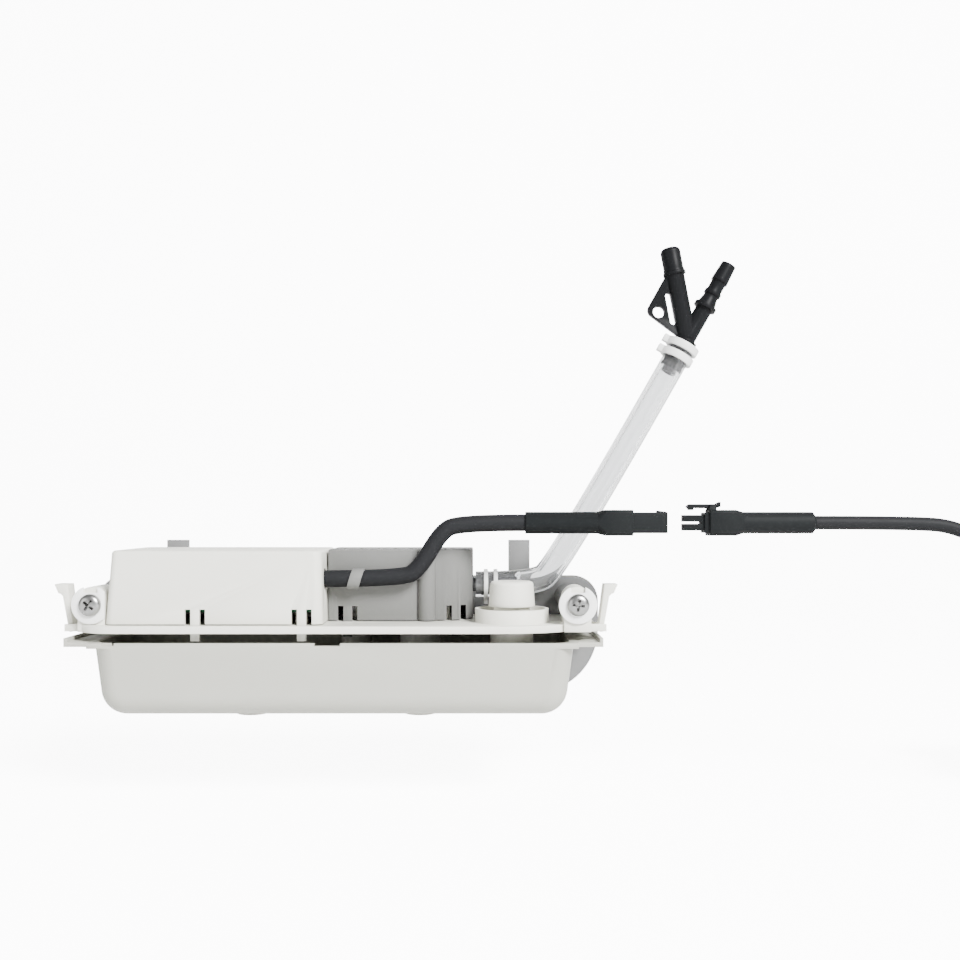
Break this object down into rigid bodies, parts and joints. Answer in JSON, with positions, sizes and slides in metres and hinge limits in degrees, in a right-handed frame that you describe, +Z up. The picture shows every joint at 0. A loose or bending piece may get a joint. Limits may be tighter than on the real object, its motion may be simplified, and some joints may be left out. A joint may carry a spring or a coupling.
{
  "type": "condensate pump",
  "caption": "Slim wall-hung condensate pump: drop-down tank under a plate with two covers, capped inlet, clear discharge hose with branched vent connector, and plug-in leads.",
  "frame": {"origin": "middle of the pump's own box, at the level of the tank's feet", "axes": "+X to the right of someone facing the tank, +Y into the wall, +Z up"},
  "size_m": [0.4627, 0.0825, 0.1839],
  "materials": {
    "barb_plastic": "mid grey moulded plastic",
    "black_part": "black moulded component",
    "board": "glass epoxy board",
    "case_plastic": "moulded mid light grey plastic, satin",
    "clamp_plastic": "white moulded plastic",
    "clear_hose": "clear soft tubing",
    "connector_plastic": "charcoal moulded plastic",
    "copper": "enamelled copper winding",
    "core_wire": "coloured core insulation",
    "dark_rubber": "black rubber",
    "float_foam": "white closed-cell plastic",
    "frame_steel": "pressed magnet steel",
    "lead_jacket": "charcoal cable jacket, satin",
    "magnet": "sintered magnet",
    "shell_plastic": "moulded light grey plastic, fine grain, slightly warm",
    "spring_steel": "bright spring wire",
    "tank_plastic": "moulded light grey plastic, satin",
    "tin": "tinned copper",
    "vee_plastic": "dark charcoal moulded plastic",
    "wall_plastic": "moulded mid grey plastic, matt",
    "white_nylon": "white nylon",
    "white_rubber": "soft off-white rubber",
    "zinc_steel": "bright zinc plated steel"
  },
  "bodies": {
    "pump": {"base_plate": "shell_plastic", "capacitor": "zinc_steel", "circuit_board": "board", "coil_bobbin": "white_nylon", "coil_winding": "copper", "discharge_hose": "clear_hose", "electronics_cover": "shell_plastic", "fixing_screws": "zinc_steel", "float_cage": "white_nylon", "hose_clamps_lower": "clamp_plastic", "hose_clamps_upper": "clamp_plastic", "inlet_filter": "white_nylon", "inlet_head": "white_nylon", "lead_gland": "dark_rubber", "lead_strap": "case_plastic", "magnet_frame": "frame_steel", "outlet_barb": "barb_plastic", "outlet_seat": "white_nylon", "piston_spring_left": "spring_steel", "piston_spring_right": "spring_steel", "pump_cover": "case_plastic", "pump_cylinder": "white_nylon", "pump_lead": "lead_jacket", "relay_1": "black_part", "relay_2": "black_part", "rubber_bush_left": "white_rubber", "rubber_bush_right": "white_rubber", "rubber_ring_left": "dark_rubber", "rubber_ring_right": "dark_rubber", "socket_housing": "connector_plastic", "socket_pins": "tin", "suction_strainer": "white_nylon", "suction_tube": "white_rubber", "terminal_block": "white_nylon", "transformer": "black_part", "wall_plate": "wall_plastic", "y_connector": "vee_plastic"},
    "tank": {"tank": "tank_plastic"},
    "float": {"float": "float_foam", "float_magnet": "magnet"},
    "piston": {"piston": "frame_steel"},
    "inlet_valve": {"inlet_valve": "dark_rubber"},
    "outlet_valve": {"outlet_valve": "dark_rubber"},
    "inlet_cap": {"inlet_cap": "shell_plastic"},
    "lever_left": {"release_lever_left": "shell_plastic"},
    "lever_right": {"release_lever_right": "shell_plastic"},
    "vent_cap": {"vent_cap": "vee_plastic"},
    "supply_lead": {"plug_housing": "connector_plastic", "supply_cable": "lead_jacket", "supply_coil": "lead_jacket", "coil_tie": "connector_plastic", "supply_tail": "lead_jacket", "core_ends": "core_wire"},
    "plug_latch": {"plug_latch": "connector_plastic"}
  },
  "joints": [
    {"name": "tank_drop", "type": "slide", "parent": "pump", "child": "tank", "axis": [0, 0, -1], "range_m": [0, 0.032]},
    {"name": "float_rise", "type": "slide", "parent": "pump", "child": "float", "axis": [0, 0, 1], "range_m": [0, 0.01]},
    {"name": "piston_swing", "type": "slide", "parent": "pump", "child": "piston", "axis": [1, 0, 0], "range_m": [-0.0012, 0.0012], "stiffness_N_per_m": 385},
    {"name": "inlet_valve_lift", "type": "slide", "parent": "pump", "child": "inlet_valve", "axis": [1, 0, 0], "range_m": [0, 0.0008], "stiffness_N_per_m": 15},
    {"name": "outlet_valve_lift", "type": "slide", "parent": "pump", "child": "outlet_valve", "axis": [1, 0, 0], "range_m": [0, 0.0008], "stiffness_N_per_m": 15},
    {"name": "inlet_cap_lift", "type": "slide", "parent": "pump", "child": "inlet_cap", "axis": [0, 0, 1], "range_m": [0, 0.012]},
    {"name": "lever_left_press", "type": "hinge", "parent": "pump", "child": "lever_left", "pos_m": [-0.101, -0.01325, 0.03275], "axis": [0, 1, 0], "range_deg": [0, 8], "stiffness_Nm_per_rad": 0.08},
    {"name": "lever_right_press", "type": "hinge", "parent": "pump", "child": "lever_right", "pos_m": [0.101, -0.01325, 0.03275], "axis": [0, -1, 0], "range_deg": [0, 8], "stiffness_Nm_per_rad": 0.08},
    {"name": "vent_cap_pull", "type": "slide", "parent": "pump", "child": "vent_cap", "axis": [-0.1874, 0, 0.9823], "range_m": [0, 0.009]},
    {"name": "plug_push", "type": "slide", "parent": "pump", "child": "supply_lead", "axis": [-1, 0, 0], "range_m": [0, 0.014]},
    {"name": "plug_latch_rock", "type": "hinge", "parent": "supply_lead", "child": "plug_latch", "pos_m": [0.1438, -0.01215, 0.079], "axis": [0, 1, 0], "range_deg": [0, 8], "stiffness_Nm_per_rad": 0.02}
  ]
}
